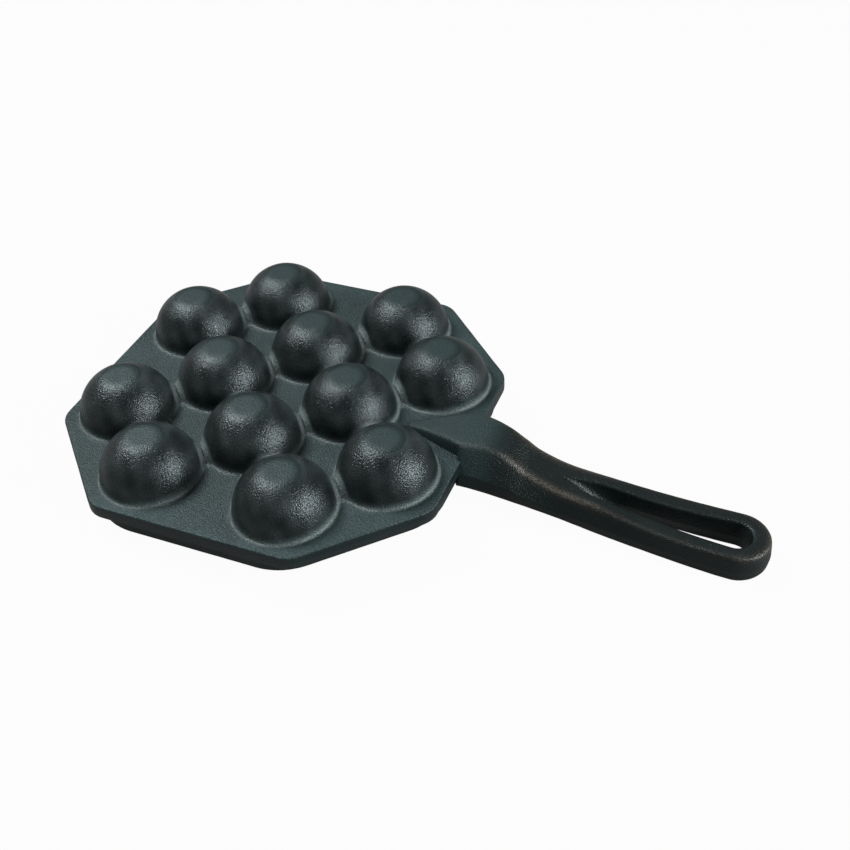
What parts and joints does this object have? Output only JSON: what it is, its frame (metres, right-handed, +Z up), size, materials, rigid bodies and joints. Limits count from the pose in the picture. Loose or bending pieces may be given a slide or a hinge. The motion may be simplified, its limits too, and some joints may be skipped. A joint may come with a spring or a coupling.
{
  "type": "gem scone pan",
  "caption": "Cast-iron scone pan lying upside down: domed cups in a turned grid on an octagonal deck with a raised rim, and a handle with a hanging slot.",
  "frame": {"origin": "centre of the bounding box on the table that the pan lies on", "axes": "+X along the pan towards the handle's end, +Z up, the cups' domes up"},
  "size_m": [0.3324, 0.192, 0.0464],
  "materials": {
    "cast_iron": "seasoned, sand-cast grain"
  },
  "bodies": {
    "root": {"cup_01": "cast_iron", "cup_02": "cast_iron", "cup_03": "cast_iron", "cup_04": "cast_iron", "cup_05": "cast_iron", "cup_06": "cast_iron", "cup_07": "cast_iron", "cup_08": "cast_iron", "cup_09": "cast_iron", "cup_10": "cast_iron", "cup_11": "cast_iron", "cup_12": "cast_iron", "web_handle": "cast_iron", "web_back": "cast_iron", "web_far": "cast_iron", "web_front": "cast_iron", "deck_edge": "cast_iron", "raised_rim": "cast_iron", "handle": "cast_iron"}
  },
  "joints": []
}
